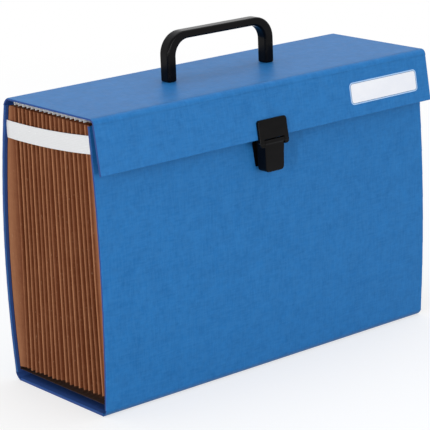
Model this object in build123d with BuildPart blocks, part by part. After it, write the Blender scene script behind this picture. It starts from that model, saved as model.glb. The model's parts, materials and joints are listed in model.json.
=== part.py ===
from build123d import *
from math import cos, hypot, radians, sin, sqrt
import os

os.makedirs("parts", exist_ok=True)

# Whole case, in millimetres: X across, Y from front to back, Z up from the table
case_width = 375.0
base_depth = 134.0
case_height = 257.8
board = 2.6
crease_cloth = 0.8
edge_round = 0.5

# Front and back walls, bowed outwards by the papers' weight
front_crease_run = 5.5
front_crease_rise = 6.0
back_crease_run = 6.9
back_crease_rise = 6.5
front_lean = 2.5
front_bow = 5.0
back_lean = 8.5
back_bow = 9.2
lining = 0.8
lining_foot = 6.0

# Lid, with the crease that joins it to the back wall, and its splayed flap
lid_thickness = 1.8
lid_overhang = 1.8
lid_reach = 1.0
lid_crease_run = 9.0
lid_crease_drop = 7.5
flap_crease_run = 5.3
flap_crease_drop = 4.8
flap_length = 42.0
flap_splay = 9.0

# Bellows: dividers with index strips, between two folded sides and a folded floor
divider_count = 17
divider_card = 0.8
back_pocket = 8.1
front_pocket = 8.8
divider_foot = 13.0
divider_drop = 1.0
index_card = 0.4
index_height = 14.0
index_rise = 5.7
index_overhang = 0.4
index_clearance = 1.8
finger_dip_width = 140.0
finger_dip_depth = 7.0
kraft = 0.5
ridge_inset = 3.5
pleat_depth = 8.0
floor_pleat_depth = 3.9
glue_land = 1.2
gusset_foot = 12.0
gusset_drop = 0.7
flange_width = 9.0
floor_flange_height = 8.0
floor_end_clearance = 1.0

# Elastic bands outside the bellows
strap_width = 15.5
strap_thickness = 0.8
strap_back_drop = 20.9
strap_middle_drop = 20.3
strap_front_drop = 15.8
strap_tab = 15.0
strap_clearance = 1.2
lining_notch_clearance = 0.5

# Carrying handle and what holds it
handle_y = -3.4
handle_width = 121.5
handle_height = 43.0
handle_depth = 12.0
handle_leg = 9.5
handle_bar = 7.0
handle_outer_corner = 20.0
handle_inner_corner = 14.5
handle_edge_round = 2.0
handle_foot_round = 1.6
screw_radius = 1.5
screw_length = 16.0
screw_clearance = 0.1
screw_head_radius = 3.6
screw_head_height = 0.6
plate_thickness = 0.8
plate_width = 14.0
plate_end = 8.0

# Latch: a plate on the flap, a lever on a pin, and a strike on the front wall
latch_x = -5.4
latch_plate_width = 33.0
latch_plate_height = 24.0
latch_plate_thickness = 2.4
latch_plate_drop = 7.5
latch_plate_corner = 3.0
latch_edge_round = 0.6
latch_screw_spacing = 22.0
latch_screw_rise = 11.0
latch_screw_bite = 1.6
latch_screw_radius = 1.2
pin_radius = 0.9
pin_clearance = 0.05
pin_drop = 3.5
pin_out = 0.2
pin_length = 31.0
knuckle_radius = 2.6
knuckle_gap = 0.4
lever_width = 22.0
lever_foot_width = 20.5
lever_height = 26.4
lever_corner = 3.5
lever_wall = 1.8
lever_out = 2.0
lever_foot_depth = 10.6
lever_floor = 3.4
lever_air = 0.8
lever_round = 0.8
strike_width = 15.0
strike_height = 12.0
strike_thickness = 1.2
strike_top_width = 27.4
strike_foot_width = 22.6
strike_base_height = 10.0
strike_base_corner = 2.0
strike_lip = 1.8
strike_reach = 8.0
strike_gap = 0.5
rivet_radius = 1.2
rivet_head_radius = 2.4
rivet_head_height = 0.7
rivet_clearance = 0.1
rivet_spacing = 8.0
rivet_seat = 0.02

# Blank label on the flap
label_inset = 15.5
label_width = 83.5
label_height = 20.0
label_thickness = 0.35
label_corner = 4.0
label_rise = 21.0

half_width = case_width / 2
lid_half_width = half_width + lid_overhang
wall_top = case_height - lid_crease_drop
divider_top = wall_top - divider_drop
gusset_top = wall_top - gusset_drop
index_top = divider_top + index_rise
strap_back_height = wall_top - strap_back_drop
strap_middle_height = wall_top - strap_middle_drop
strap_front_height = wall_top - strap_front_drop


def bowed_wall(side, foot, top, bow):
    """Circle of a wall's outer face, which swells by bow towards side: -1 front, 1 back."""
    run = top[0] - foot[0]
    rise = top[1] - foot[1]
    length = hypot(run, rise)
    radius = (length**2 / 4 + bow**2) / (2 * bow)
    centre_y = (foot[0] + top[0]) / 2 - side * (radius - bow) * rise / length
    centre_z = (foot[1] + top[1]) / 2 + side * (radius - bow) * run / length
    return {"side": side, "y": centre_y, "z": centre_z, "radius": radius}


def face_point(wall, depth, height):
    """Point (y, z) of a wall at this height, depth in from its outer face."""
    reach = sqrt((wall["radius"] - depth) ** 2 - (height - wall["z"]) ** 2)
    return (wall["y"] + wall["side"] * reach, height)


def face_arc(wall, depth, low, high):
    """Draws a wall's curve, depth in from its outer face."""
    ThreePointArc(
        face_point(wall, depth, low),
        face_point(wall, depth, (low + high) / 2),
        face_point(wall, depth, high),
    )


def wall_section(wall, depth, thickness, low, high, x=0):
    """Section at x of a curved sheet that lies along a wall, between two heights."""
    with BuildSketch(Plane.YZ.offset(x)) as section:
        with BuildLine():
            face_arc(wall, depth, low, high)
            face_arc(wall, depth + thickness, low, high)
            Line(face_point(wall, depth, low), face_point(wall, depth + thickness, low))
            Line(face_point(wall, depth, high), face_point(wall, depth + thickness, high))
        make_face()
    return section.sketch


def bar_section(points):
    """Section of a bar along X, from its corners (y, z)."""
    with BuildSketch(Plane.YZ) as section:
        with BuildLine():
            Polyline(*points, close=True)
        make_face()
    return section.sketch


def round_ends(builder):
    """Rounds the wrapped edges at a board's left and right ends."""
    ends = builder.faces().sort_by(Axis.X)
    fillet(ends[0].edges() + ends[-1].edges(), radius=edge_round)


def finish(builder, name):
    """Labels a finished piece and writes it."""
    builder.part.label = name
    export_step(builder.part, f"parts/{name}.step")


front_wall = bowed_wall(
    -1,
    (-base_depth / 2, front_crease_rise),
    (-base_depth / 2 + front_lean, wall_top),
    front_bow,
)
back_wall = bowed_wall(
    1,
    (base_depth / 2, back_crease_rise),
    (base_depth / 2 - back_lean, wall_top),
    back_bow,
)

# Latch position on the front wall, which the strike, its rivets and their holes share
flap_top_y = -base_depth / 2 - lid_reach - flap_crease_run
flap_top_z = case_height - flap_crease_drop
splay_run = sin(radians(flap_splay))
splay_rise = cos(radians(flap_splay))
flap_bottom_y = flap_top_y - flap_length * splay_run
flap_bottom_z = flap_top_z - flap_length * splay_rise


def on_flap(rise, out):
    """Point (y, z) measured up along the flap from its lower edge, and out from its face."""
    return (
        flap_bottom_y + rise * splay_run - out * splay_rise,
        flap_bottom_z + rise * splay_rise + out * splay_run,
    )


def flap_plane(x, rise=0.0, out=0.0):
    """Plane on the flap's outer face, X across, Y up along the flap, Z outwards."""
    point = on_flap(rise, out)
    return Plane(
        origin=(x, point[0], point[1]),
        x_dir=(1, 0, 0),
        z_dir=(0, -splay_rise, splay_run),
    )


pin_y, pin_z = on_flap(-pin_drop, pin_out)
lever_foot_z = pin_z - lever_height
strike_foot_z = lever_foot_z + lever_floor + strike_gap
strike_y, strike_z = face_point(front_wall, 0, strike_foot_z + strike_height / 2)
strike_normal_y = (strike_y - front_wall["y"]) / front_wall["radius"]
strike_normal_z = (strike_z - front_wall["z"]) / front_wall["radius"]


def strike_plane(out=0.0):
    """Plane on the front wall's outer face at the strike's middle, Z outwards."""
    return Plane(
        origin=(latch_x, strike_y + out * strike_normal_y, strike_z + out * strike_normal_z),
        x_dir=(1, 0, 0),
        z_dir=(0, strike_normal_y, strike_normal_z),
    )


# Boards: bottom, back and front walls, lid and flap
bottom_front = -base_depth / 2 + front_crease_run
bottom_back = base_depth / 2 - back_crease_run
with BuildPart() as bottom_board:
    with BuildSketch(Plane.YZ):
        with Locations(((bottom_front + bottom_back) / 2, board / 2)):
            Rectangle(bottom_back - bottom_front, board)
    extrude(amount=half_width, both=True)
    round_ends(bottom_board)
finish(bottom_board, "bottom_board")

with BuildPart() as back_board:
    extrude(wall_section(back_wall, 0, board, back_crease_rise, wall_top), half_width, both=True)
    round_ends(back_board)
finish(back_board, "back_board")

with BuildPart() as front_board:
    extrude(wall_section(front_wall, 0, board, front_crease_rise, wall_top), half_width, both=True)
    free_edges = front_board.edges().filter_by(Axis.X).group_by(Axis.Z)[-1]
    fillet(free_edges, radius=edge_round)
    round_ends(front_board)
    with BuildSketch(strike_plane()):
        with GridLocations(rivet_spacing, 0, 2, 1):
            Circle(rivet_radius + rivet_clearance)
    extrude(amount=2 * board, both=True, mode=Mode.SUBTRACT)
finish(front_board, "front_board")

lid_front = -base_depth / 2 - lid_reach
lid_back = base_depth / 2 - back_lean - lid_crease_run
lid_under = case_height - lid_thickness
leg_x = handle_width / 2 - handle_leg / 2
leg_places = ((-leg_x, handle_y), (leg_x, handle_y))
with BuildPart() as lid_board:
    with BuildSketch(Plane.YZ):
        with Locations(((lid_front + lid_back) / 2, case_height - lid_thickness / 2)):
            Rectangle(lid_back - lid_front, lid_thickness)
    extrude(amount=lid_half_width, both=True)
    round_ends(lid_board)
    with BuildSketch(Plane.XY.offset(lid_under)):
        with Locations(*leg_places):
            Circle(screw_radius + screw_clearance)
    extrude(amount=lid_thickness, mode=Mode.SUBTRACT)
finish(lid_board, "lid_board")

with BuildPart() as flap_board:
    with BuildSketch(flap_plane(0, out=-board)):
        with Locations((0, flap_length / 2)):
            Rectangle(2 * lid_half_width, flap_length)
    extrude(amount=board)
    lower_edges = flap_board.edges().filter_by(Axis.X).sort_by(Axis.Z)[:2]
    fillet(lower_edges, radius=edge_round)
    round_ends(flap_board)
    with BuildSketch(flap_plane(latch_x, latch_screw_rise)):
        with GridLocations(latch_screw_spacing, 0, 2, 1):
            Circle(latch_screw_radius + screw_clearance)
    extrude(amount=-board, mode=Mode.SUBTRACT)
finish(flap_board, "flap_board")

# Creases of covering paper that join the boards
for side, foot_y, foot_z, edge_y, name in (
    (-1, -base_depth / 2, front_crease_rise, bottom_front, "front_bottom_crease"),
    (1, base_depth / 2, back_crease_rise, bottom_back, "back_bottom_crease"),
):
    with BuildPart() as bottom_crease:
        section = bar_section(
            [
                (foot_y, foot_z),
                (edge_y, 0),
                (edge_y, crease_cloth),
                (foot_y - side * crease_cloth, foot_z),
            ]
        )
        extrude(section, half_width, both=True)
    finish(bottom_crease, name)

wall_top_y = base_depth / 2 - back_lean
with BuildPart() as lid_crease:
    section = bar_section(
        [
            (wall_top_y, wall_top),
            (lid_back, case_height),
            (lid_back, case_height - crease_cloth),
            (wall_top_y - crease_cloth, wall_top),
        ]
    )
    extrude(section, half_width, both=True)
finish(lid_crease, "lid_crease")

flap_inner_y = flap_top_y + crease_cloth * splay_rise
flap_inner_z = flap_top_z - crease_cloth * splay_run
with BuildPart() as flap_crease:
    section = bar_section(
        [
            (lid_front, case_height),
            (flap_top_y, flap_top_z),
            (flap_inner_y, flap_inner_z),
            (lid_front, case_height - crease_cloth),
        ]
    )
    extrude(section, lid_half_width, both=True)
finish(flap_crease, "flap_crease")

# Dividers between the first and last fold of the bellows
divider_back = wall_top_y - board - lining - back_pocket
divider_front = -base_depth / 2 + front_lean + board + lining + front_pocket
divider_pitch = (divider_back - divider_front) / (divider_count - 1)
ridge_x = half_width - ridge_inset
land_run = (divider_pitch - glue_land) / 2
pleat_skew = kraft * hypot(pleat_depth, land_run) / land_run
floor_skew = kraft * hypot(floor_pleat_depth, land_run) / land_run
divider_half = ridge_x - pleat_depth - pleat_skew
divider_height = divider_top - divider_foot
index_foot = index_top - index_height
index_ear_foot = gusset_top + index_clearance
index_half = ridge_x + index_overhang


def finger_dip():
    """Cuts the shallow dip in the middle of a divider's top edge, through its index strip too."""
    with Locations((0, index_top)):
        SlotOverall(finger_dip_width, 2 * (finger_dip_depth + index_rise), mode=Mode.SUBTRACT)


with BuildPart() as divider:
    with BuildSketch(Plane.XZ.offset(-divider_card / 2)):
        with Locations((0, divider_foot + divider_height / 2)):
            Rectangle(2 * divider_half, divider_height)
        finger_dip()
    extrude(amount=divider_card)

with BuildPart() as index_strip:
    with BuildSketch(Plane.XZ.offset(divider_card / 2)):
        with Locations((0, index_foot + index_height / 2)):
            Rectangle(2 * divider_half, index_height)
        with Locations((0, (index_ear_foot + index_top) / 2)):
            Rectangle(2 * index_half, index_top - index_ear_foot)
        finger_dip()
    extrude(amount=index_card)

for number in range(divider_count):
    place_y = divider_back - number * divider_pitch
    with BuildPart() as placed_divider:
        with Locations((0, place_y, 0)):
            add(divider.part)
    finish(placed_divider, f"divider_{number + 1:02}")
    with BuildPart() as placed_strip:
        with Locations((0, place_y, 0)):
            add(index_strip.part)
    finish(placed_strip, f"index_strip_{number + 1:02}")


def fold_line(ridge, valley):
    """Points along the folds from back to front: (y, level) at ridges and at glued valleys."""
    points = [(divider_back + divider_pitch / 2, ridge)]
    for number in range(divider_count):
        place_y = divider_back - number * divider_pitch
        points.append((place_y + glue_land / 2, valley))
        points.append((place_y - glue_land / 2, valley))
        points.append((place_y - divider_pitch / 2, ridge))
    return points


first_ridge_y = divider_back + divider_pitch / 2
last_ridge_y = divider_front - divider_pitch / 2


def end_panel(wall, ridge_y, x):
    """Section at x of the flat kraft panel between a bellows side's end ridge and a wall."""
    depth = board + lining
    with BuildSketch(Plane.YZ.offset(x)) as section:
        with BuildLine():
            face_arc(wall, depth, gusset_foot, gusset_top)
            Polyline(
                face_point(wall, depth, gusset_top),
                (ridge_y, gusset_top),
                (ridge_y, gusset_foot),
                face_point(wall, depth, gusset_foot),
            )
        make_face()
    return section.sketch


# Folded kraft sides and floor of the bellows
for side, name in ((-1, "left_gusset"), (1, "right_gusset")):
    with BuildPart() as gusset:
        with BuildSketch(Plane.XY.offset(gusset_foot)):
            with BuildLine():
                outer = [(side * x, y) for y, x in fold_line(ridge_x, ridge_x - pleat_depth)]
                inner = [(x - side * pleat_skew, y) for x, y in outer]
                Polyline(*outer, *reversed(inner), close=True)
            make_face()
        extrude(amount=gusset_top - gusset_foot)
        for wall, ridge_y in ((back_wall, first_ridge_y), (front_wall, last_ridge_y)):
            panel = end_panel(wall, ridge_y, side * (ridge_x - kraft))
            extrude(panel, side * kraft)
            flange_x = side * (ridge_x - flange_width)
            flange = wall_section(
                wall, board + lining, kraft, gusset_foot, gusset_top, flange_x
            )
            extrude(flange, side * flange_width)
    finish(gusset, name)

floor_half = divider_half - floor_end_clearance
floor_ridge_z = divider_foot - floor_pleat_depth
flange_depth = board + lining
back_floor = face_point(back_wall, flange_depth, divider_foot)
back_floor_top = face_point(back_wall, flange_depth, divider_foot + floor_flange_height)
front_floor = face_point(front_wall, flange_depth, divider_foot)
front_floor_top = face_point(front_wall, flange_depth, divider_foot + floor_flange_height)
with BuildPart() as floor_gusset:
    upper = fold_line(floor_ridge_z, divider_foot)
    lower = [(y, z - floor_skew) for y, z in upper]
    back_flange = [
        back_floor_top,
        (back_floor_top[0] - kraft, back_floor_top[1]),
        (back_floor[0] - kraft, back_floor[1]),
    ]
    front_flange = [
        (front_floor[0] + kraft, front_floor[1]),
        (front_floor_top[0] + kraft, front_floor_top[1]),
        front_floor_top,
    ]
    back_corner = face_point(back_wall, flange_depth, divider_foot - kraft)
    front_corner = face_point(front_wall, flange_depth, divider_foot - kraft)
    section = bar_section(
        back_flange + upper + front_flange + [front_corner] + lower[::-1] + [back_corner]
    )
    extrude(section, floor_half, both=True)
finish(floor_gusset, "floor_gusset")


def strap_points(lift):
    """Three points along a band's line, lift above its middle: back wall, sag, front wall."""
    back = face_point(back_wall, board, strap_back_height + lift)
    front = face_point(front_wall, board, strap_front_height + lift)
    sag = ((back[0] + front[0]) / 2, strap_middle_height + lift)
    return back, sag, front


# Elastic bands that keep the bellows from springing open
strap_in = ridge_x + strap_clearance
strap_out = strap_in + strap_thickness
for side, name in ((-1, "left_strap"), (1, "right_strap")):
    with BuildPart() as strap:
        with BuildSketch(Plane.YZ.offset(side * strap_in)):
            with BuildLine():
                top_back, top_sag, top_front = strap_points(strap_width / 2)
                low_back, low_sag, low_front = strap_points(-strap_width / 2)
                ThreePointArc(top_back, top_sag, top_front)
                ThreePointArc(low_back, low_sag, low_front)
                Line(top_back, low_back)
                Line(top_front, low_front)
            make_face()
        extrude(amount=side * strap_thickness)
        tab_x = side * (strap_out - strap_tab)
        for wall, tab_top in ((back_wall, top_back[1]), (front_wall, top_front[1])):
            tab = wall_section(wall, board, lining, tab_top - strap_width, tab_top, tab_x)
            extrude(tab, side * strap_tab)
    finish(strap, name)

# Kraft linings on the two walls, notched for the bands' glued ends
for wall, middle, name in (
    (back_wall, strap_back_height, "back_lining"),
    (front_wall, strap_front_height, "front_lining"),
):
    with BuildPart() as wall_lining:
        low = board + lining_foot
        sheet = wall_section(wall, board, lining, low, gusset_top)
        extrude(sheet, ridge_x, both=True)
        notch_in = strap_out - strap_tab - lining_notch_clearance
        notch_reach = strap_width / 2 + lining_notch_clearance
        with BuildSketch(Plane.XZ):
            with GridLocations(2 * (notch_in + strap_tab / 2), 0, 2, 1):
                with Locations((0, middle)):
                    Rectangle(strap_tab, 2 * notch_reach)
        extrude(amount=base_depth, both=True, mode=Mode.SUBTRACT)
        if wall is front_wall:
            with BuildSketch(strike_plane()):
                with GridLocations(rivet_spacing, 0, 2, 1):
                    Circle(rivet_radius + rivet_clearance)
            extrude(amount=2 * (board + lining), both=True, mode=Mode.SUBTRACT)
    finish(wall_lining, name)

# Handle, its backing plate under the lid and its screws
with BuildPart() as handle:
    with BuildSketch(Plane.XZ.offset(-handle_y - handle_depth / 2)) as handle_outline:
        with Locations((0, case_height + handle_height / 2)):
            Rectangle(handle_width, handle_height)
        fillet(handle_outline.vertices().group_by(Axis.Y)[-1], radius=handle_outer_corner)
    extrude(amount=handle_depth)
    grip_height = handle_height - handle_bar
    with BuildSketch(Plane.XZ.offset(-handle_y - handle_depth / 2)) as grip_space:
        with Locations((0, case_height + grip_height / 2)):
            Rectangle(handle_width - 2 * handle_leg, grip_height)
        fillet(grip_space.vertices().group_by(Axis.Y)[-1], radius=handle_inner_corner)
    extrude(amount=handle_depth, mode=Mode.SUBTRACT)
    sides = handle.faces().filter_by(Axis.Y).edges()
    fillet(sides.group_by(Axis.Z)[1:], radius=handle_edge_round)
    feet = handle.faces().filter_by(Axis.Z).sort_by(Axis.Z)[:2]
    fillet(feet.edges(), radius=handle_foot_round)
    with BuildSketch(Plane.XY.offset(lid_under)):
        with Locations(*leg_places):
            Circle(screw_radius + screw_clearance)
    extrude(amount=screw_length, mode=Mode.SUBTRACT)
finish(handle, "handle")

with BuildPart() as handle_plate:
    with BuildSketch(Plane.XY.offset(lid_under - plate_thickness)):
        with Locations((0, handle_y)):
            SlotOverall(2 * leg_x + 2 * plate_end, plate_width)
        with Locations(*leg_places):
            Circle(screw_radius + screw_clearance, mode=Mode.SUBTRACT)
    extrude(amount=plate_thickness)
finish(handle_plate, "handle_plate")

with BuildPart() as handle_screws:
    with BuildSketch(Plane.XY.offset(lid_under - plate_thickness - screw_head_height)):
        with Locations(*leg_places):
            Circle(screw_head_radius)
    extrude(amount=screw_head_height)
    with BuildSketch(Plane.XY.offset(lid_under - plate_thickness)):
        with Locations(*leg_places):
            Circle(screw_radius)
    extrude(amount=screw_length)
finish(handle_screws, "handle_screws")


def pin_plane(x):
    """Plane square to the latch pin, at x along it."""
    return Plane(origin=(x, pin_y, pin_z), x_dir=(0, 1, 0), z_dir=(1, 0, 0))


# Latch plate on the flap, with a lug at each end of the pin
lever_half = lever_width / 2
notch_height = latch_plate_drop - pin_drop + knuckle_radius + knuckle_gap
lug_length = latch_plate_width / 2 - lever_half - knuckle_gap - latch_edge_round
with BuildPart() as latch_plate:
    with BuildSketch(flap_plane(latch_x)) as plate_outline:
        with Locations((0, latch_plate_height / 2 - latch_plate_drop)):
            Rectangle(latch_plate_width, latch_plate_height)
        fillet(plate_outline.vertices(), radius=latch_plate_corner)
    extrude(amount=latch_plate_thickness)
    outer_face = latch_plate.faces().filter_by(flap_plane(latch_x)).sort_by(Axis.Y)[0]
    fillet(outer_face.edges(), radius=latch_edge_round)
    with BuildSketch(flap_plane(latch_x)):
        with Locations((0, notch_height / 2 - latch_plate_drop)):
            Rectangle(lever_width + 2 * knuckle_gap, notch_height)
    extrude(amount=latch_plate_thickness, mode=Mode.SUBTRACT)
    for side in (-1, 1):
        with BuildSketch(pin_plane(latch_x + side * (lever_half + knuckle_gap))):
            Circle(knuckle_radius)
        extrude(amount=side * lug_length)
    with BuildSketch(pin_plane(latch_x)):
        Circle(pin_radius + pin_clearance)
    extrude(amount=latch_plate_width, both=True, mode=Mode.SUBTRACT)
    with BuildSketch(flap_plane(latch_x, latch_screw_rise)):
        with GridLocations(latch_screw_spacing, 0, 2, 1):
            Circle(latch_screw_radius + screw_clearance)
    extrude(amount=latch_screw_bite + screw_clearance, mode=Mode.SUBTRACT)
finish(latch_plate, "latch_plate")

with BuildPart() as latch_pin:
    with BuildSketch(pin_plane(latch_x)):
        Circle(pin_radius)
    extrude(amount=pin_length / 2, both=True)
finish(latch_pin, "latch_pin")

with BuildPart() as latch_screws:
    with BuildSketch(flap_plane(latch_x, latch_screw_rise, -board - screw_head_height)):
        with GridLocations(latch_screw_spacing, 0, 2, 1):
            Circle(2 * latch_screw_radius)
    extrude(amount=screw_head_height)
    with BuildSketch(flap_plane(latch_x, latch_screw_rise, -board)):
        with GridLocations(latch_screw_spacing, 0, 2, 1):
            Circle(latch_screw_radius)
    extrude(amount=board + latch_screw_bite)
finish(latch_screws, "latch_screws")

# Lever: a hollow wedge that hangs from the pin, whose floor hooks under the strike's lip
lever_front_y = pin_y - lever_out
lever_back_y = face_point(front_wall, 0, lever_foot_z)[0] - lever_air
lever_depth = lever_back_y - lever_front_y
lever_toe_y = lever_front_y + lever_foot_depth
lever_foot_half = lever_foot_width / 2
with BuildPart() as latch_lever:
    with BuildSketch(Plane.XZ.offset(-lever_front_y)) as lever_outline:
        with BuildLine():
            Polyline(
                (latch_x - lever_foot_half, lever_foot_z),
                (latch_x - lever_half, pin_z),
                (latch_x + lever_half, pin_z),
                (latch_x + lever_foot_half, lever_foot_z),
                close=True,
            )
        make_face()
        fillet(lever_outline.vertices().group_by(Axis.Y)[0], radius=lever_corner)
    extrude(amount=-lever_depth)
    front_edges = latch_lever.faces().sort_by(Axis.Y)[0].edges()
    fillet(front_edges.sort_by(Axis.Z)[:-1], radius=lever_round)
    with BuildSketch(Plane.YZ.offset(latch_x)):
        with BuildLine():
            Polyline(
                (lever_back_y, pin_z),
                (lever_toe_y, lever_foot_z),
                (lever_toe_y, lever_foot_z - lever_wall),
                (lever_back_y + lever_wall, lever_foot_z - lever_wall),
                (lever_back_y + lever_wall, pin_z),
                close=True,
            )
        make_face()
    extrude(amount=lever_width, both=True, mode=Mode.SUBTRACT)
    with BuildSketch(Plane.XZ.offset(-lever_front_y - lever_wall)):
        with BuildLine():
            Polyline(
                (latch_x - lever_foot_half + lever_wall, lever_foot_z + lever_floor),
                (latch_x - lever_half + lever_wall, pin_z),
                (latch_x + lever_half - lever_wall, pin_z),
                (latch_x + lever_foot_half - lever_wall, lever_foot_z + lever_floor),
                close=True,
            )
        make_face()
    extrude(amount=-lever_depth, mode=Mode.SUBTRACT)
    with BuildSketch(pin_plane(latch_x)):
        Circle(knuckle_radius)
    extrude(amount=lever_half, both=True)
    with BuildSketch(pin_plane(latch_x)):
        Circle(pin_radius + pin_clearance)
    extrude(amount=latch_plate_width, both=True, mode=Mode.SUBTRACT)
finish(latch_lever, "latch_lever")

# Strike on the front wall: a base plate, wider above, and a lip for the lever's floor
strike_top = strike_height / 2 + strike_base_height
with BuildPart() as strike:
    with BuildSketch(strike_plane()) as strike_outline:
        with BuildLine():
            Polyline(
                (-strike_foot_width / 2, -strike_height / 2),
                (-strike_top_width / 2, strike_top),
                (strike_top_width / 2, strike_top),
                (strike_foot_width / 2, -strike_height / 2),
                close=True,
            )
        make_face()
        fillet(strike_outline.vertices().group_by(Axis.Y)[-1], radius=strike_base_corner)
    extrude(amount=strike_thickness)
    with BuildSketch(strike_plane()):
        with Locations((0, strike_lip / 2 - strike_height / 2)):
            Rectangle(strike_width, strike_lip)
    extrude(amount=strike_reach)
    with BuildSketch(strike_plane()):
        with GridLocations(rivet_spacing, 0, 2, 1):
            Circle(rivet_radius + rivet_clearance)
    extrude(amount=strike_thickness, mode=Mode.SUBTRACT)
finish(strike, "strike")

rivet_grip = board + lining + rivet_seat
with BuildPart() as strike_rivets:
    with BuildSketch(strike_plane(-rivet_grip)):
        with GridLocations(rivet_spacing, 0, 2, 1):
            Circle(rivet_radius)
    extrude(amount=rivet_grip + strike_thickness)
    for out, direction in ((-rivet_grip, -1), (strike_thickness, 1)):
        with BuildSketch(strike_plane(out)):
            with GridLocations(rivet_spacing, 0, 2, 1):
                Circle(rivet_head_radius)
        extrude(amount=direction * rivet_head_height)
finish(strike_rivets, "strike_rivets")

label_x = lid_half_width - label_inset - label_width / 2
with BuildPart() as label:
    with BuildSketch(flap_plane(label_x, label_rise)):
        RectangleRounded(label_width, label_height, label_corner)
    extrude(amount=label_thickness)
finish(label, "label")
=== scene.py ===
import json
import math
import random

import bpy
from mathutils import Matrix, Vector


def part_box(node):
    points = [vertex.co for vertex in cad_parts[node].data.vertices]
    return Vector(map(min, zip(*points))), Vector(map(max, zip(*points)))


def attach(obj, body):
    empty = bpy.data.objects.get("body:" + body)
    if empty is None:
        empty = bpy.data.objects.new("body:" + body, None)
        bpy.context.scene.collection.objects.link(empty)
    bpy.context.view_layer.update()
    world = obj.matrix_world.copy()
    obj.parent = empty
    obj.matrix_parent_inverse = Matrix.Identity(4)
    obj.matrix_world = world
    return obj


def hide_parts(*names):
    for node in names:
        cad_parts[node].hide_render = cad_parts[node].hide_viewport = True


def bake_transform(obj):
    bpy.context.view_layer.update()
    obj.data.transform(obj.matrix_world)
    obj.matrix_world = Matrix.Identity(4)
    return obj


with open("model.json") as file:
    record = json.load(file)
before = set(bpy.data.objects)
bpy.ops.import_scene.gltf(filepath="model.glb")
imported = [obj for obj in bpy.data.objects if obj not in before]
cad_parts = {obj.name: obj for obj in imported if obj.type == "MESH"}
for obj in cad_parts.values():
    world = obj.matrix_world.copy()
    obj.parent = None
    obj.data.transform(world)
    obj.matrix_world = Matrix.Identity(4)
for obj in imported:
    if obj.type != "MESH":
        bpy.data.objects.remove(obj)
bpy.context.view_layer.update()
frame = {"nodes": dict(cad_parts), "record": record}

MM = 0.001
nodes = frame["nodes"]
bpy.ops.object.select_all(action="DESELECT")

# Sizes of the case in millimetres, as its source has them
CASE_WIDTH = 375.0
CASE_HEIGHT = 257.8
WALL_TOP = 250.3
HALF_DEPTH = 67.0
FRONT_BOW = 5.0
BACK_BOW = 9.2
FRONT_LEAN = 2.5
BACK_LEAN = 8.5
FRONT_CREASE_RUN = 5.5
FRONT_CREASE_RISE = 6.0
BACK_CREASE_RUN = 6.9
BACK_CREASE_RISE = 6.5
BOARD = 2.6
LINING = 0.8
LID_HALF = 189.3
LID_FRONT = -68.0
LID_BACK = 49.5
FLAP_TOP = (-73.3, 253.0)
FLAP_LENGTH = 42.0
FLAP_SPLAY = math.radians(9.0)
FLAP_DOWN = (-math.sin(FLAP_SPLAY), -math.cos(FLAP_SPLAY))
CASE_MIDDLE = (0.0, -4.0 * MM, 125.0 * MM)

# The creases: how thick each is, how far the flap's laps onto its boards, and where the lid's bends
CREASE_STEPS = 8
FOOT_CREASE_THICK = 0.8
LID_CREASE_THICK = 1.4
FLAP_CREASE_THICK = 1.6
FLAP_CREASE_LAP = 0.4

# The bellows and its dividers
RIDGE_X = 184.0
PLEAT_DEPTH = 8.0
DIVIDERS = 17
FIRST_DIVIDER = 47.0
LAST_DIVIDER = -52.3
PITCH = (FIRST_DIVIDER - LAST_DIVIDER) / (DIVIDERS - 1)
DIVIDER_FOOT = 13.0
GUSSET_TOP = 249.6
GUSSET_FOOT = 11.7
GUSSET_FOOT_RISE = 4.6
GUSSET_FLANGE = 8.8
GUSSET_CORNER = 0.2
GUSSET_STEPS = 28
KRAFT_THICK = 0.4
KRAFT_GAP = 0.3
INSIDE_WALL = BOARD + LINING + KRAFT_GAP
VALLEY_HALF = 0.6

# Across a ridge: how far along the bellows, how far inside the crest, and how much painted highlight it
# gets
NOSE = ((1.0, 1.5, 0.04), (0.55, 0.4, 0.42), (0.0, 0.0, 1.0), (-0.55, 0.4, 0.42), (-1.0, 1.5, 0.04))

# The middle folds lie nearer the back, and all spread below a height and close up above it
FOLD_SHIFT = 1.2
SPREAD_SHARE = 0.055
SPREAD_HEIGHT = 116.0
SPREAD_BELOW = 100.0
SPREAD_ABOVE = 160.0
WANDER_HEIGHT = 240.0

# Least and most that a fold strays along the bellows, bulges halfway up, and is lifted at its foot
FOLD_STRAY = (0.1, 0.6)
FOLD_BULGE = (-0.35, 0.25)
FOLD_LIFT = (-0.4, 0.9)

# How brightly the end panels are painted lit, and where painted shade on the plain kraft starts and is
# deepest
BACK_PANEL_LIGHT = 0.62
FRONT_PANEL_LIGHT = 0.9
END_SHADE_START = 170.0 * MM
END_SHADE_FULL = 178.0 * MM

# The bellows floor: its folds, its ends, and how flat it is pressed by distance from the middle
FLOOR_TOP = DIVIDER_FOOT - 0.6
FLOOR_LOW = DIVIDER_FOOT - 3.7
FLOOR_FOLD_HALF = 0.8
FLOOR_FOLD_RISE = 0.7
FLOOR_EDGE = 9.0
FLOOR_FLANGE = 8.0
FLOOR_PRESSED = {183.4: 1.0, 177.5: 1.0, 173.5: 0.0, 90.0: 0.0, 0.0: 0.0}

# The elastic bands; the last three are heights of a band's middle line
BAND_WIDTH = 15.3
BAND_THICK = 0.7
BAND_TAB = 14.5
BAND_EDGES_IN = 0.25
BAND_INSIDE_WALL = BOARD + 0.4
BAND_X = RIDGE_X + 1.6
BAND_BACK = WALL_TOP - 20.9
BAND_HALFWAY = WALL_TOP - 20.3
BAND_FRONT = WALL_TOP - 15.8

# The label; its middle is LABEL_UP above the flap's lower edge
LABEL_SIZE = (83.5, 20.0)
LABEL_UP = 21.0
LABEL_CORNER = 4.0
LABEL_RIM = 1.0
LABEL_LINE = 0.5
LABEL_THICK = 0.33

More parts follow.
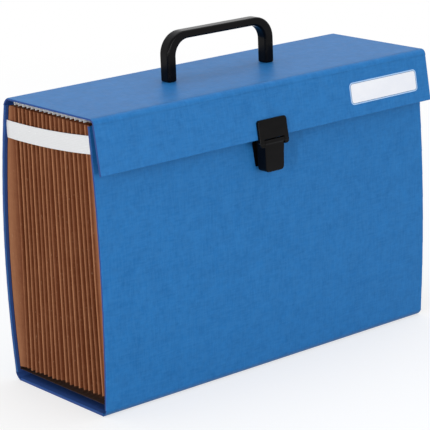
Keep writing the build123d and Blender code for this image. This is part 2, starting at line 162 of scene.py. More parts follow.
# The camera: its place in metres, its turns, and its lens in millimetres
CAMERA_PLACE = (-1.0867, -1.3174, 0.6072)
CAMERA_AZIMUTH = math.radians(-39.33)
CAMERA_ELEVATION = math.radians(15.76)
CAMERA_ROLL = math.radians(-2.15)
CAMERA_LENS = 164.27

# The room in metres: where the lamps point, how wide it is, and where its floor fades to white
LAMP_AIM = (0, 0, 0.13)
ROOM_SIZE = 8.0
FADE_START = 0.5
FADE_END = 1.5


# Camera, room and light
def make_camera():
    back = Vector((
        math.sin(CAMERA_AZIMUTH) * math.cos(CAMERA_ELEVATION),
        -math.cos(CAMERA_AZIMUTH) * math.cos(CAMERA_ELEVATION),
        math.sin(CAMERA_ELEVATION),
    ))
    right = (-back).cross(Vector((0, 0, 1))).normalized()
    up = right.cross(-back)
    across = math.cos(CAMERA_ROLL) * right + math.sin(CAMERA_ROLL) * up
    upward = -math.sin(CAMERA_ROLL) * right + math.cos(CAMERA_ROLL) * up
    data = bpy.data.cameras.new("camera")
    data.sensor_width = 36.0
    data.lens = CAMERA_LENS
    data.clip_start = 0.05
    data.clip_end = 50.0
    camera = bpy.data.objects.new("camera", data)
    bpy.context.scene.collection.objects.link(camera)
    camera.matrix_world = Matrix((
        (across.x, upward.x, back.x, CAMERA_PLACE[0]),
        (across.y, upward.y, back.y, CAMERA_PLACE[1]),
        (across.z, upward.z, back.z, CAMERA_PLACE[2]),
        (0, 0, 0, 1),
    ))
    bpy.context.scene.camera = camera


def area_light(name, place, size, power):
    """A rectangular lamp that faces the case and that the camera doesn't see."""
    data = bpy.data.lights.new(name, "AREA")
    data.shape = "RECTANGLE"
    data.size, data.size_y = size
    data.energy = power
    lamp = bpy.data.objects.new(name, data)
    bpy.context.scene.collection.objects.link(lamp)
    lamp.location = place
    lamp.rotation_euler = (Vector(place) - Vector(LAMP_AIM)).to_track_quat("Z", "Y").to_euler()
    lamp.visible_camera = False


def shader_node(tree, kind, colour, strength=None):
    """A plain diffuse, emission or background node of this colour."""
    node = tree.nodes.new(kind)
    node.inputs["Color"].default_value = colour
    if strength is not None:
        node.inputs["Strength"].default_value = strength
    return node


def mix_shaders(tree, factor, first, second):
    node = tree.nodes.new("ShaderNodeMixShader")
    tree.links.new(factor, node.inputs[0])
    tree.links.new(first.outputs[0], node.inputs[1])
    tree.links.new(second.outputs[0], node.inputs[2])
    return node


def seen_directly(tree):
    """A Light Path node, and a mask of the rays from the camera and from glossy surfaces."""
    path = tree.nodes.new("ShaderNodeLightPath")
    return path, maths(tree, "MAXIMUM", path.outputs["Is Camera Ray"], path.outputs["Is Glossy Ray"])


def make_world():
    """Soft light on the case; white to the camera and in reflections."""
    world = bpy.data.worlds.new("room")
    bpy.context.scene.world = world
    world.use_nodes = True
    tree = world.node_tree
    tree.nodes.clear()
    path, seen = seen_directly(tree)
    seen = maths(tree, "MAXIMUM", seen, path.outputs["Is Transmission Ray"])
    soft = shader_node(tree, "ShaderNodeBackground", (0.95, 0.97, 1.0, 1), 0.62)
    white = shader_node(tree, "ShaderNodeBackground", (1, 1, 1, 1), 1.0)
    out = tree.nodes.new("ShaderNodeOutputWorld")
    tree.links.new(mix_shaders(tree, seen, soft, white).outputs[0], out.inputs["Surface"])


def make_floor():
    """A pale floor that keeps the case's shadow and fades to white away from it."""
    bpy.ops.mesh.primitive_plane_add(size=ROOM_SIZE, location=(0, 0, 0))
    floor = bpy.context.object
    floor.name = "floor"
    material, tree, shader, place = new_material("pale_floor")
    tree.nodes.remove(shader)
    seen = seen_directly(tree)[1]
    distance = tree.nodes.new("ShaderNodeVectorMath")
    distance.operation = "LENGTH"
    tree.links.new(place, distance.inputs[0])
    faded = maths(tree, "MULTIPLY", ramp(tree, distance.outputs["Value"], FADE_START, FADE_END), seen)
    matt = shader_node(tree, "ShaderNodeBsdfDiffuse", (0.42, 0.42, 0.42, 1))
    glow = shader_node(tree, "ShaderNodeEmission", (1, 1, 1, 1))
    tree.links.new(maths(tree, "MULTIPLY", seen, 0.62), glow.inputs["Strength"])
    near = tree.nodes.new("ShaderNodeAddShader")
    tree.links.new(matt.outputs[0], near.inputs[0])
    tree.links.new(glow.outputs[0], near.inputs[1])
    far = shader_node(tree, "ShaderNodeEmission", (1, 1, 1, 1))
    surface = mix_shaders(tree, faded, near, far)
    tree.links.new(surface.outputs[0], tree.nodes["Material Output"].inputs["Surface"])
    floor.data.materials.append(material)
    floor.select_set(False)


def make_room():
    bpy.context.scene.view_settings.view_transform = "Standard"
    make_world()
    make_floor()
    area_light("overhead", (0.3, 0.3, 2.2), (2.0, 1.6), 14.5)
    area_light("front", (0.3, -2.7, 0.45), (1.4, 0.8), 20.5)
    area_light("left_strip", (-2.3, -1.2, 0.55), (0.08, 1.0), 22)


# Shader helpers
def new_group(name, outputs):
    """A shader node group that reads a vector; returns it with the vector and its output node."""
    group = bpy.data.node_groups.new(name, "ShaderNodeTree")
    group.interface.new_socket(name="Vector", in_out="INPUT", socket_type="NodeSocketVector")
    for label in outputs:
        group.interface.new_socket(name=label, in_out="OUTPUT", socket_type="NodeSocketFloat")
    vector = group.nodes.new("NodeGroupInput").outputs["Vector"]
    return group, vector, group.nodes.new("NodeGroupOutput")


def fill_sockets(tree, pairs):
    """Links each socket to the output it is paired with, or sets it to the value."""
    for socket, value in pairs:
        if isinstance(value, bpy.types.NodeSocket):
            tree.links.new(value, socket)
        else:
            socket.default_value = value


def mix_colour(tree, factor, first, second):
    node = tree.nodes.new("ShaderNodeMix")
    node.data_type = "RGBA"
    # A Mix node keeps its colours in sockets 6 and 7, and its mixed colour in output 2
    fill_sockets(tree, ((node.inputs[0], factor), (node.inputs[6], first), (node.inputs[7], second)))
    return node.outputs[2]


def maths(tree, operation, first, second, clamp=False):
    node = tree.nodes.new("ShaderNodeMath")
    node.operation = operation
    node.use_clamp = clamp
    fill_sockets(tree, ((node.inputs[0], first), (node.inputs[1], second)))
    return node.outputs[0]


def absolute(tree, value):
    return maths(tree, "ABSOLUTE", value, 0.0)


def blend_masks(tree, *shares):
    """The sum of several masks, each times its share."""
    total = None
    for mask, share in shares:
        part = maths(tree, "MULTIPLY", mask, share)
        total = part if total is None else maths(tree, "ADD", total, part)
    return total


def noise(tree, vector, scale, detail=2.0, rough=0.5):
    node = tree.nodes.new("ShaderNodeTexNoise")
    node.inputs["Scale"].default_value = scale
    node.inputs["Detail"].default_value = detail
    node.inputs["Roughness"].default_value = rough
    tree.links.new(vector, node.inputs["Vector"])
    return node.outputs["Fac"]


def stretch(tree, vector, scale):
    node = tree.nodes.new("ShaderNodeMapping")
    node.inputs["Scale"].default_value = scale
    tree.links.new(vector, node.inputs["Vector"])
    return node.outputs["Vector"]


def ramp(tree, value, low, high):
    node = tree.nodes.new("ShaderNodeMapRange")
    node.inputs["From Min"].default_value = low
    node.inputs["From Max"].default_value = high
    tree.links.new(value, node.inputs["Value"])
    return node.outputs["Result"]


def parts_of(tree, vector):
    node = tree.nodes.new("ShaderNodeSeparateXYZ")
    tree.links.new(vector, node.inputs["Vector"])
    return node.outputs


def own_uv(tree):
    """U and V of the piece's own map."""
    node = tree.nodes.new("ShaderNodeUVMap")
    node.uv_map = "UVMap"
    place = parts_of(tree, node.outputs["UV"])
    return place["X"], place["Y"]


def bump(tree, shader, height, strength, distance):
    node = tree.nodes.new("ShaderNodeBump")
    node.inputs["Strength"].default_value = strength
    node.inputs["Distance"].default_value = distance
    tree.links.new(height, node.inputs["Height"])
    tree.links.new(node.outputs["Normal"], shader.inputs["Normal"])


def rough_by(tree, shader, least, mask, extra):
    """Roughness from least, where the mask is 0, to extra more, where it is 1."""
    rough = maths(tree, "ADD", least, maths(tree, "MULTIPLY", mask, extra))
    tree.links.new(rough, shader.inputs["Roughness"])


def new_material(name, specular=None):
    material = bpy.data.materials.new(name)
    material.use_nodes = True
    tree = material.node_tree
    shader = tree.nodes["Principled BSDF"]
    if specular is not None:
        shader.inputs["Specular IOR Level"].default_value = specular
    place = tree.nodes.new("ShaderNodeTexCoord").outputs["Object"]
    return material, tree, shader, place


def use_group(tree, group, vector):
    node = tree.nodes.new("ShaderNodeGroup")
    node.node_tree = group
    tree.links.new(vector, node.inputs["Vector"])
    return node.outputs


# Grain of the covering paper and of the kraft
def linen_group():
    """Covering paper embossed like linen: blotches of dye, crossing threads, and a height."""
    group, vector, end = new_group("linen_grain", ("Blotch", "Grain", "Height"))
    small = noise(group, vector, 230.0, 3.0, 0.6)
    large = noise(group, vector, 75.0, 2.0, 0.5)
    blotch = blend_masks(group, (small, 0.55), (large, 0.45))
    lying = noise(group, stretch(group, vector, (0.14, 1.0, 1.0)), 640.0, 2.0, 0.55)
    standing = noise(group, stretch(group, vector, (1.0, 0.14, 0.14)), 640.0, 2.0, 0.55)
    threads = maths(group, "MULTIPLY", maths(group, "ADD", lying, standing), 0.5)
    cells = group.nodes.new("ShaderNodeTexVoronoi")
    cells.feature = "SMOOTH_F1"
    cells.inputs["Scale"].default_value = 780.0
    group.links.new(vector, cells.inputs["Vector"])
    pits = maths(group, "MULTIPLY", cells.outputs["Distance"], 0.5)
    group.links.new(ramp(group, blotch, 0.36, 0.64), end.inputs["Blotch"])
    group.links.new(ramp(group, threads, 0.36, 0.64), end.inputs["Grain"])
    group.links.new(maths(group, "ADD", pits, threads), end.inputs["Height"])
    return group


def fibre_group():
    """Kraft paper: long fibres, flecks and soft clouds."""
    group, vector, end = new_group("kraft_fibres", ("Fibres", "Flecks", "Height"))
    along = noise(group, stretch(group, vector, (1.0, 1.0, 0.12)), 620.0, 3.0, 0.65)
    across = noise(group, stretch(group, vector, (0.2, 0.2, 1.0)), 420.0, 2.0, 0.6)
    cloud = noise(group, vector, 35.0, 2.0, 0.5)
    mixed = blend_masks(group, (along, 0.5), (across, 0.2), (cloud, 0.3))
    flecks = noise(group, stretch(group, vector, (1.0, 1.0, 0.35)), 900.0, 1.0, 0.5)
    group.links.new(ramp(group, mixed, 0.3, 0.7), end.inputs["Fibres"])
    group.links.new(ramp(group, flecks, 0.68, 0.8), end.inputs["Flecks"])
    group.links.new(blend_masks(group, (along, 0.7), (across, 0.3)), end.inputs["Height"])
    return group


# Finishes
def near_ends(tree, place, start, stop):
    """A mask that rises from 0 to 1 as |x| goes from start to stop, in metres."""
    return ramp(tree, absolute(tree, parts_of(tree, place)["X"]), start, stop)


def end_shade_mask(tree, place):
    """A mask of painted shade: the boards' ends, which look along X, and the faces that look into the
    case.
    """
    normal = tree.nodes.new("ShaderNodeNewGeometry").outputs["Normal"]
    ends = ramp(tree, absolute(tree, parts_of(tree, normal)["X"]), 0.55, 0.85)
    from_middle = tree.nodes.new("ShaderNodeVectorMath")
    from_middle.operation = "SUBTRACT"
    from_middle.inputs[1].default_value = CASE_MIDDLE
    tree.links.new(place, from_middle.inputs[0])
    outward = tree.nodes.new("ShaderNodeVectorMath")
    outward.operation = "DOT_PRODUCT"
    tree.links.new(normal, outward.inputs[0])
    tree.links.new(from_middle.outputs["Vector"], outward.inputs[1])
    return maths(tree, "MAXIMUM", ends, ramp(tree, outward.outputs["Value"], -0.01, -0.04))


def covering_paper():
    """Blue covering paper with deeper blotches and paler threads, and painted shade on the boards' ends
    and on the faces that look into the case.
    """
    blue = (0.019, 0.174, 0.472, 1)
    deep_blue = (0.014, 0.141, 0.395, 1)
    pale_blue = (0.050, 0.230, 0.530, 1)
    painted_shade_blue = (0.034, 0.068, 0.265, 1)
    material, tree, shader, place = new_material("covering_paper", 0.13)
    parts = use_group(tree, linen, place)
    tint = mix_colour(tree, parts["Blotch"], blue, deep_blue)
    tint = mix_colour(tree, maths(tree, "MULTIPLY", parts["Grain"], 0.35), tint, pale_blue)
    # Painted shade: the boards' ends and the faces that look into the case turn darker navy.
    tint = mix_colour(tree, maths(tree, "MULTIPLY", end_shade_mask(tree, place), 0.85), tint, painted_shade_blue)
    tree.links.new(tint, shader.inputs["Base Color"])
    rough_by(tree, shader, 0.40, parts["Grain"], 0.12)
    bump(tree, shader, parts["Height"], 0.32, 0.00022)
    return material


def kraft_material(name, colour, deep, fleck, end_shade_share=0.0):
    """Plain kraft; the last argument is how much painted shade darkens it towards the case's two ends."""
    end_shade_colour = (0.012, 0.006, 0.005, 1)
    material, tree, shader, place = new_material(name, 0.35)
    parts = use_group(tree, fibres, place)
    tint = mix_colour(tree, parts["Fibres"], deep, colour)
    tint = mix_colour(tree, maths(tree, "MULTIPLY", parts["Flecks"], 0.35), tint, fleck)
    # Painted shade towards the case's two ends, nearly black at the very ends.
    ends = maths(tree, "MULTIPLY", near_ends(tree, place, END_SHADE_START, END_SHADE_FULL), end_shade_share)
    tint = mix_colour(tree, ends, tint, end_shade_colour)
    tree.links.new(tint, shader.inputs["Base Color"])
    rough_by(tree, shader, 0.72, parts["Fibres"], 0.12)
    bump(tree, shader, parts["Height"], 0.25, 0.00015)
    return material


def folded_kraft():
    """Folded kraft with a painted highlight along the ridges and painted shade in the valleys; U is how
    much painted highlight a place gets.
    """
    valley = (0.160, 0.042, 0.014, 1)
    ridge = (0.605, 0.272, 0.132, 1)
    fleck = (0.70, 0.42, 0.24, 1)
    material, tree, shader, place = new_material("folded_kraft", 0.15)
    parts = use_group(tree, fibres, place)
    ridge_light_share = own_uv(tree)[0]
    uneven = maths(tree, "MULTIPLY", maths(tree, "SUBTRACT", parts["Fibres"], 0.5), 0.25)
    painted_highlight = maths(tree, "ADD", ridge_light_share, uneven, clamp=True)
    # Painted light: the valleys' colour is painted shade, the ridges' colour a painted highlight.
    tint = mix_colour(tree, painted_highlight, valley, ridge)
    tint = mix_colour(tree, maths(tree, "MULTIPLY", parts["Flecks"], 0.3), tint, fleck)
    tree.links.new(tint, shader.inputs["Base Color"])
    rough_by(tree, shader, 0.70, parts["Fibres"], 0.12)
    bump(tree, shader, parts["Height"], 0.25, 0.00015)
    return material


def card_material(name, colour, deep, rough):
    """Smooth coated card or label stock."""
    material, tree, shader, place = new_material(name)
    soft = noise(tree, place, 60.0, 3.0, 0.6)
    fine = noise(tree, place, 1200.0, 2.0, 0.6)
    tint = mix_colour(tree, ramp(tree, soft, 0.3, 0.7), deep, colour)
    tree.links.new(tint, shader.inputs["Base Color"])
    rough_by(tree, shader, rough, fine, 0.1)
    bump(tree, shader, fine, 0.12, 0.0001)
    return material


def black_plastic():
    """Glossy moulded black plastic with faint flow marks and fine scuffs."""
    material, tree, shader, place = new_material("black_plastic", 0.09)
    flow = noise(tree, stretch(tree, place, (0.3, 1.0, 1.0)), 120.0, 3.0, 0.55)
    scuff = noise(tree, stretch(tree, place, (1.0, 1.0, 0.2)), 900.0, 3.0, 0.7)
    marks = ramp(tree, flow, 0.35, 0.7)
    tint = mix_colour(tree, marks, (0.0015, 0.0013, 0.0015, 1), (0.0036, 0.0032, 0.0036, 1))
    tree.links.new(tint, shader.inputs["Base Color"])
    rough_by(tree, shader, 0.15, ramp(tree, scuff, 0.45, 0.8), 0.16)
    bump(tree, shader, flow, 0.08, 0.0004)
    return material


def plated_steel():
    material, tree, shader, place = new_material("plated_steel")
    brush = noise(tree, stretch(tree, place, (0.15, 1.0, 1.0)), 1500.0, 3.0, 0.7)
    tint = mix_colour(tree, ramp(tree, brush, 0.3, 0.7), (0.45, 0.45, 0.46, 1), (0.62, 0.62, 0.62, 1))
    tree.links.new(tint, shader.inputs["Base Color"])
    shader.inputs["Metallic"].default_value = 1.0
    rough_by(tree, shader, 0.24, brush, 0.18)
    bump(tree, shader, brush, 0.1, 0.0001)
    return material


def waves(tree, value, count):
    """A mask with this many ridges as value goes from 0 to 1."""
    return absolute(tree, maths(tree, "SINE", maths(tree, "MULTIPLY", value, math.pi * count), 0.0))


def woven_elastic():
    """Woven elastic band: ribs along its length, crossed by fine weft; U runs along the band."""
    material, tree, shader, place = new_material("elastic_band")
    along, across = own_uv(tree)
    height = blend_masks(tree, (waves(tree, across, 11), 0.8), (waves(tree, along, 130), 0.5))
    fuzz = noise(tree, place, 1600.0, 2.0, 0.6)
    # Partly painted shade, darker in the weave's grooves than on its ribs, and partly random tone from
    # the fuzz.
    shade = maths(
        tree, "ADD", maths(tree, "MULTIPLY", height, 0.6), maths(tree, "MULTIPLY", fuzz, 0.4), clamp=True,
    )
    tint = mix_colour(tree, shade, (0.90, 0.90, 0.89, 1), (0.98, 0.98, 0.98, 1))
    tree.links.new(tint, shader.inputs["Base Color"])
    rough_by(tree, shader, 0.7, fuzz, 0.2)
    shader.inputs["Sheen Weight"].default_value = 0.2
    bump(tree, shader, height, 0.45, 0.0003)
    return material


# Modelling helpers
def wall_circle(side, foot, top, bow):
    """The circle of a bowed wall's outer face, seen from its end."""
    run, rise = top[0] - foot[0], top[1] - foot[1]
    length = math.hypot(run, rise)
    radius = (length * length / 4 + bow * bow) / (2 * bow)
    centre_y = (foot[0] + top[0]) / 2 - side * (radius - bow) * rise / length
    centre_z = (foot[1] + top[1]) / 2 + side * (radius - bow) * run / length
    return side, centre_y, centre_z, radius


FRONT_WALL = wall_circle(
    -1, (-HALF_DEPTH, FRONT_CREASE_RISE), (-HALF_DEPTH + FRONT_LEAN, WALL_TOP), FRONT_BOW,
)
BACK_WALL = wall_circle(1, (HALF_DEPTH, BACK_CREASE_RISE), (HALF_DEPTH - BACK_LEAN, WALL_TOP), BACK_BOW)


def wall_y(wall, height, depth):
    """Y of a wall's face at this height, depth in from its outside, in millimetres."""
    side, centre_y, centre_z, radius = wall
    return centre_y + side * math.sqrt((radius - depth) ** 2 - (height - centre_z) ** 2)


def grid(name, across, up):
    """A flat grid piece with this many faces each way, and its vertices by row and column."""
    bpy.ops.object.select_all(action="DESELECT")
    bpy.ops.mesh.primitive_grid_add(x_subdivisions=across, y_subdivisions=up, size=1.0)
    piece = bpy.context.object
    piece.name = name
    order = sorted(piece.data.vertices, key=lambda v: (round(v.co.y, 6), round(v.co.x, 6)))
    width = across + 1
    rows = [order[start:start + width] for start in range(0, len(order), width)]
    return piece, rows


def make_active(piece):
    bpy.ops.object.select_all(action="DESELECT")
    piece.select_set(True)
    bpy.context.view_layer.objects.active = piece


def thicken(piece, thickness, offset=0.0):
    modifier = piece.modifiers.new("thickness", "SOLIDIFY")
    modifier.thickness = thickness * MM
    modifier.offset = offset
    modifier.use_even_offset = True


def face_outwards(piece):
    make_active(piece)
    bpy.ops.object.mode_set(mode="EDIT")
    bpy.ops.mesh.select_all(action="SELECT")
    bpy.ops.mesh.normals_make_consistent(inside=False)
    bpy.ops.object.mode_set(mode="OBJECT")
    piece.select_set(False)


def finish_piece(piece, material, smooth_angle):
    """Applies the modifiers and the place, and gives the piece its material."""
    make_active(piece)
    for modifier in list(piece.modifiers):
        bpy.ops.object.modifier_apply(modifier=modifier.name)
    bpy.ops.object.transform_apply(location=True, rotation=True, scale=True)
    bpy.ops.object.shade_smooth_by_angle(angle=math.radians(smooth_angle))
    piece.data.materials.clear()
    piece.data.materials.append(material)
    face_outwards(piece)


def place_uv(piece, places):
    """Gives the piece the UV place of each of its vertices."""
    layer = piece.data.uv_layers.active
    layer.name = "UVMap"
    for loop in piece.data.loops:
        layer.data[loop.index].uv = places[loop.vertex_index]


def bend_with_bellows(piece):
    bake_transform(piece)


# The bellows
def ridge_line(fold, height, wander):
    """Y of a fold's ridge at this height; wander is how far it strays and at which phase it starts."""
    middle = FIRST_DIVIDER + PITCH / 2 - fold * PITCH + FOLD_SHIFT * math.sin(math.pi * fold / DIVIDERS)
    centre = (FIRST_DIVIDER + LAST_DIVIDER) / 2
    reach = SPREAD_BELOW if height < SPREAD_HEIGHT else SPREAD_ABOVE
    spread = 1.0 + SPREAD_SHARE * (SPREAD_HEIGHT - height) / reach
    amount, phase = wander
    stray = amount * math.sin(height / WANDER_HEIGHT * math.pi + phase)
    return centre + (middle - centre) * spread + stray


def gusset_height(forward, share, lift=0.0):
    """Height at this share of the way up from the foot; forward is 0 at the back wall, 1 at the front."""
    foot = GUSSET_FOOT + GUSSET_FOOT_RISE * forward + lift
    return foot + (GUSSET_TOP - foot) * share


def gusset_columns(seed):
    """The lines up one folded side, from back to front: each gives x, y, z and how much painted highlight
    it gets.
    """
    dice = random.Random(seed)
    folds = range(DIVIDERS + 1)
    wanders = [(dice.uniform(*FOLD_STRAY), dice.uniform(0, 2 * math.pi)) for fold in folds]
    bulges = [dice.uniform(*FOLD_BULGE) for fold in folds]
    lifts = [dice.uniform(*FOLD_LIFT) for fold in folds]

    def ridge(fold, along, inside, shine):
        def place(share):
            height = gusset_height(fold / DIVIDERS, share, lifts[fold])
            x = RIDGE_X - inside + bulges[fold] * math.sin(share * math.pi)
            y = ridge_line(fold, height, wanders[fold]) + along
            return x, y, height, shine * (0.75 + 0.25 * math.sin(fold * 2.4 + seed))
        return place

    def valley(fold, along):
        def place(share):
            y = FIRST_DIVIDER - fold * PITCH + along
            return RIDGE_X - PLEAT_DEPTH, y, gusset_height(fold / DIVIDERS, share), 0.0
        return place

    def against(wall, forward, inside, shine):
        def place(share):
            height = gusset_height(forward, share)
            return RIDGE_X - inside, wall_y(wall, height, INSIDE_WALL), height, shine
        return place

    edges = (GUSSET_FLANGE, GUSSET_CORNER)
    columns = [against(BACK_WALL, 0.0, inside, BACK_PANEL_LIGHT) for inside in edges]
    for fold in folds:
        columns += [ridge(fold, *nose) for nose in NOSE]
        if fold < DIVIDERS:
            columns += [valley(fold, VALLEY_HALF), valley(fold, -VALLEY_HALF)]
    return columns + [against(FRONT_WALL, 1.0, inside, FRONT_PANEL_LIGHT) for inside in reversed(edges)]


def side_gusset(side, name, seed):
    """One folded kraft side: flange, end panel, eighteen folds, end panel, flange."""
    columns = gusset_columns(seed)
    piece, rows = grid(name, len(columns) - 1, GUSSET_STEPS)
    # U of the map holds the painted highlight of each column.
    painted_highlight = {}
    for level, row in enumerate(rows):
        share = level / GUSSET_STEPS
        for vertex, column in zip(row, columns):
            x, y, z, shine = column(share)
            vertex.co = Vector((side * x, y, z)) * MM
            painted_highlight[vertex.index] = (shine, share)
    place_uv(piece, painted_highlight)
    thicken(piece, KRAFT_THICK)
    finish_piece(piece, fold_paper, 50)
    bend_with_bellows(piece)
    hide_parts(name.replace("_folds", "_gusset"))


def floor_flange(wall):
    """Where the bellows floor turns up a wall: its upper edge, then its foot."""
    return [
        (wall_y(wall, DIVIDER_FOOT + rise, INSIDE_WALL), FLOOR_TOP + rise) for rise in (FLOOR_FLANGE, 0.0)
    ]


def floor_gusset():
    """The folded kraft floor of the bellows, under the dividers' feet and pressed flat at its ends."""
    points = floor_flange(BACK_WALL)
    shoulder = FLOOR_LOW + FLOOR_FOLD_RISE
    for fold in range(DIVIDERS + 1):
        y = FIRST_DIVIDER + PITCH / 2 - fold * PITCH
        points += [(y + FLOOR_FOLD_HALF, shoulder), (y, FLOOR_LOW), (y - FLOOR_FOLD_HALF, shoulder)]
        if fold < DIVIDERS:
            points += [(y - PITCH / 2 + along, FLOOR_TOP) for along in (VALLEY_HALF, -VALLEY_HALF)]
    points += reversed(floor_flange(FRONT_WALL))
    stations = list(FLOOR_PRESSED.items())
    stations += [(-x, flat) for x, flat in reversed(stations[:-1])]
    piece, rows = grid("floor_folds", len(points) - 1, len(stations) - 1)
    for (x, flat), row in zip(stations, rows):
        for vertex, (y, z) in zip(row, points):
            vertex.co = Vector((x, y, z + flat * (FLOOR_EDGE - z))) * MM
    thicken(piece, KRAFT_THICK)
    finish_piece(piece, kraft, 50)
    bend_with_bellows(piece)
    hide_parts("floor_gusset")


def band_path(steps):
    """The band's middle line: out from behind the back wall, along the folds, in behind the front."""
    back_y = wall_y(BACK_WALL, BAND_BACK, BAND_INSIDE_WALL)
    front_y = wall_y(FRONT_WALL, BAND_FRONT, BAND_INSIDE_WALL)
    span = back_y - front_y
    length = BAND_TAB + span + BAND_TAB
    dip = (BAND_BACK + BAND_FRONT) / 2 - BAND_HALFWAY
    path = []
    for step in range(steps + 1):
        gone = length * step / steps
        if gone < BAND_TAB:
            path.append((BAND_X - BAND_TAB + gone, back_y, BAND_BACK, gone))
        elif gone < BAND_TAB + span:
            t = (gone - BAND_TAB) / span
            z = BAND_BACK * (1 - t) + BAND_FRONT * t - 4 * t * (1 - t) * dip
            path.append((BAND_X, back_y - t * span, z, gone))
        else:
            path.append((BAND_X - (gone - BAND_TAB - span), front_y, BAND_FRONT, gone))
    return path, length


def elastic_band(side, name):
    """One band across the folds, its two edges drawn in a little towards them."""
    across, along = 6, 48
    path, length = band_path(along)
    piece, rows = grid(name, along, across)
    places = {}
    for level, row in enumerate(rows):
        v = level / across
        for vertex, (x, y, z, gone) in zip(row, path):
            on_side = BAND_TAB < gone < length - BAND_TAB
            drawn_in = BAND_EDGES_IN * (2 * v - 1) ** 2 if on_side else 0
            vertex.co = Vector((side * (x - drawn_in), y, z + (v - 0.5) * BAND_WIDTH)) * MM
            places[vertex.index] = (gone / length, v)
    place_uv(piece, places)
    thicken(piece, BAND_THICK)
    finish_piece(piece, elastic, 60)
    bend_with_bellows(piece)
    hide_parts(name.replace("_band", "_strap"))


# The creases
def curve_between(first, first_way, second, second_way, steps, strength):
    """Points of a smooth curve from first to second, leaving and arriving along the two ways."""
    reach = math.dist(first, second) * strength
    start = Vector(first)
    stop = Vector(second)
    leaving = start + Vector(first_way).normalized() * reach
    arriving = stop - Vector(second_way).normalized() * reach
    points = []
    for step in range(steps + 1):
        t = step / steps
        p = start * (1 - t) ** 3 + leaving * 3 * t * (1 - t) ** 2
        p += arriving * 3 * t * t * (1 - t)
        p += stop * t ** 3
        points.append((p.x, p.y))
    return points


def crease(name, half, path, thickness, node):
    """A strip of covering paper along X over the path (y, z), which lies on its outside."""
    piece, rows = grid(name, len(path) - 1, CREASE_STEPS)
    for level, row in enumerate(rows):
        x = half * (1 - 2 * level / CREASE_STEPS)
        for vertex, (y, z) in zip(row, path):
            vertex.co = Vector((x, y, z)) * MM
    thicken(piece, thickness, offset=1.0)
    finish_piece(piece, cover, 60)
    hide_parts(node)
    return piece


def flap_crease():
    """Between the lid and the flap, lapping onto each."""
    path = [(LID_FRONT + FLAP_CREASE_LAP, CASE_HEIGHT)]
    path += curve_between((LID_FRONT, CASE_HEIGHT), (-1, 0), FLAP_TOP, FLAP_DOWN, 10, 0.42)
    path.append(tuple(top + FLAP_CREASE_LAP * down for top, down in zip(FLAP_TOP, FLAP_DOWN)))
    piece = crease("flap_fold", LID_HALF, path, FLAP_CREASE_THICK, "flap_crease")
    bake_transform(piece)


def lid_crease():
    """Between the back wall and the lid."""
    top_y = wall_y(BACK_WALL, WALL_TOP, 0)
    path = curve_between((top_y, WALL_TOP), (-0.35, 1), (LID_BACK, CASE_HEIGHT), (-1, 0.1), 10, 0.34)
    piece = crease("lid_fold", CASE_WIDTH / 2, path, LID_CREASE_THICK, "lid_crease")
    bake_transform(piece)


def front_bottom_crease():
    foot = -HALF_DEPTH + FRONT_CREASE_RUN
    corner = (-HALF_DEPTH, FRONT_CREASE_RISE)
    path = curve_between(corner, (0.1, -1), (foot, 0.0), (1, -0.1), 8, 0.25)
    piece = crease("front_foot_fold", CASE_WIDTH / 2, path, FOOT_CREASE_THICK, "front_bottom_crease")
    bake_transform(piece)


def back_bottom_crease():
    foot = HALF_DEPTH - BACK_CREASE_RUN
    path = curve_between((foot, 0.0), (1, 0.1), (HALF_DEPTH, BACK_CREASE_RISE), (0.1, 1), 8, 0.25)
    piece = crease("back_foot_fold", CASE_WIDTH / 2, path, FOOT_CREASE_THICK, "back_bottom_crease")
    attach(piece, "root")


# The label
def label_outline():
    """A flat rounded plate with a rim, a line inside it and a blank face."""
    bpy.ops.object.select_all(action="DESELECT")
    bpy.ops.mesh.primitive_plane_add(size=1.0)
    piece = bpy.context.object
    piece.name = "blank_label"
    piece.scale = (LABEL_SIZE[0] * MM, LABEL_SIZE[1] * MM, 1)
    bpy.ops.object.transform_apply(scale=True)
    bpy.ops.object.mode_set(mode="EDIT")
    bpy.ops.mesh.select_all(action="SELECT")
    bpy.ops.mesh.bevel(offset=LABEL_CORNER * MM, segments=8, affect="VERTICES")
    bpy.ops.mesh.select_all(action="SELECT")
    bpy.ops.mesh.inset(thickness=LABEL_RIM * MM)
    bpy.ops.mesh.inset(thickness=LABEL_LINE * MM)
    bpy.ops.object.mode_set(mode="OBJECT")
    return piece


def colour_label(piece):
    """The middle face is blank, the faces that touch it are the line, and the rest is the rim."""
    for finish in (label_rim, label_line, label_face):
        piece.data.materials.append(finish)
    middle_face = max(piece.data.polygons, key=lambda face: len(face.vertices))
    inner = set(middle_face.vertices)
    for face in piece.data.polygons:
        face.material_index = 1 if inner & set(face.vertices) else 0
    middle_face.material_index = 2


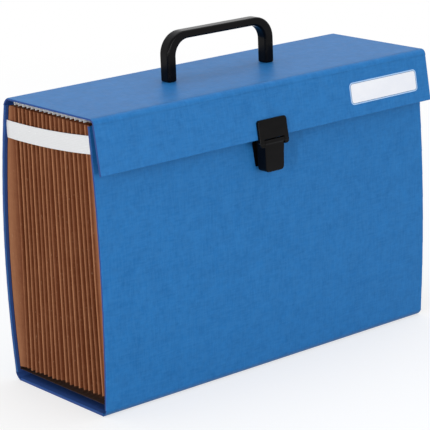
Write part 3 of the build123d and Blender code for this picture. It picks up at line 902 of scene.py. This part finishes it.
def blank_label():
    low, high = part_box("label")
    down = FLAP_LENGTH - LABEL_UP
    piece = label_outline()
    colour_label(piece)
    piece.matrix_world = Matrix((
        (1, 0, 0, (low.x + high.x) / 2),
        (0, -FLAP_DOWN[0], FLAP_DOWN[1], (FLAP_TOP[0] + down * FLAP_DOWN[0]) * MM),
        (0, -FLAP_DOWN[1], -FLAP_DOWN[0], (FLAP_TOP[1] + down * FLAP_DOWN[1]) * MM),
        (0, 0, 0, 1),
    ))
    modifier = piece.modifiers.new("thickness", "SOLIDIFY")
    modifier.thickness = LABEL_THICK * MM
    modifier.offset = 1.0
    bpy.ops.object.modifier_apply(modifier=modifier.name)
    bpy.ops.object.transform_apply(location=True, rotation=True, scale=True)
    face_outwards(piece)
    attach(piece, "flap")
    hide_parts("label")


make_camera()
make_room()
linen = linen_group()
fibres = fibre_group()
cover = covering_paper()
# The plain kraft gets painted shade towards the case's two ends.
kraft = kraft_material(
    "kraft_paper", (0.240, 0.088, 0.036, 1), (0.165, 0.056, 0.023, 1), (0.42, 0.20, 0.10, 1), end_shade_share=0.9,
)
fold_paper = folded_kraft()
card = kraft_material("divider_card", (0.36, 0.19, 0.095, 1), (0.28, 0.14, 0.068, 1), (0.5, 0.3, 0.18, 1))
white_card = card_material("index_card", (0.97, 0.97, 0.96, 1), (0.93, 0.93, 0.92, 1), 0.45)
label_face = card_material("label_face", (0.90, 0.91, 0.95, 1), (0.84, 0.86, 0.92, 1), 0.3)
label_rim = card_material("label_rim", (0.42, 0.62, 0.88, 1), (0.36, 0.56, 0.83, 1), 0.3)
label_line = card_material("label_line", (0.13, 0.24, 0.40, 1), (0.11, 0.21, 0.36, 1), 0.3)
plastic = black_plastic()
steel = plated_steel()
elastic = woven_elastic()

finishes = {
    "blue_board": cover,
    "blue_crease": cover,
    "kraft": kraft,
    "divider_card": card,
    "index_white": white_card,
    "strap": elastic,
    "black_plastic": plastic,
    "steel": steel,
    "label": label_face,
}
slots = {part["node"]: part["material_slot"] for part in frame["record"]["subparts"]}
for node, piece in nodes.items():
    piece.data.materials.clear()
    piece.data.materials.append(finishes[slots[node]])

side_gusset(-1, "left_folds", 11)
side_gusset(1, "right_folds", 23)
floor_gusset()
elastic_band(-1, "left_band")
elastic_band(1, "right_band")
flap_crease()
lid_crease()
front_bottom_crease()
back_bottom_crease()
blank_label()
